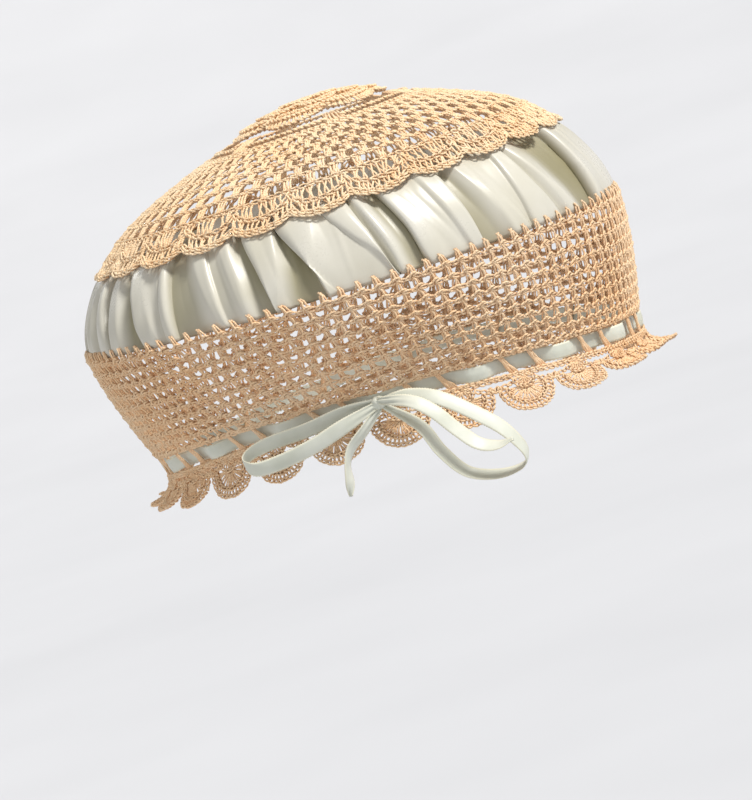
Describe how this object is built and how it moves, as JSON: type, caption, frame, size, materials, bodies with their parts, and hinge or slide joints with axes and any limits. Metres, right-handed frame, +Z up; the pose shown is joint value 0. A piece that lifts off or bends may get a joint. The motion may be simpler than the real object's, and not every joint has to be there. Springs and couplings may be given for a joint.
{
  "type": "crocheted boudoir cap with a satin band",
  "caption": "Soft crocheted boudoir cap with an open-work crown, a pleated satin band, a mesh side, a scalloped edging and a narrow ribbon drawstring tied in a bow.",
  "frame": {"origin": "middle of the head opening, at the height of the threaded ribbon", "axes": "+Z up through the middle of the crown, -Y the way the wearer looks, +X to the wearer's left; the bow is on the -X side"},
  "size_m": [0.214, 0.2401, 0.1647],
  "materials": {
    "crown_cotton": "matt crocheted cotton, peach",
    "side_cotton": "matt crocheted cotton, peach",
    "edging_cotton": "matt crocheted cotton, peach",
    "satin": "glossy satin, pale celadon",
    "narrow_ribbon": "satin ribbon, pale green"
  },
  "bodies": {
    "root": {"crown_rosette": "crown_cotton", "crown_net": "crown_cotton", "crown_border": "crown_cotton", "satin_band": "satin", "side_net": "side_cotton", "eyelet_row": "side_cotton", "shell_edging": "edging_cotton", "drawstring_ribbon": "narrow_ribbon", "bow_knot": "narrow_ribbon", "bow_loop_front": "narrow_ribbon", "bow_loop_back": "narrow_ribbon", "bow_tail_front": "narrow_ribbon", "bow_tail_back": "narrow_ribbon"}
  },
  "joints": []
}
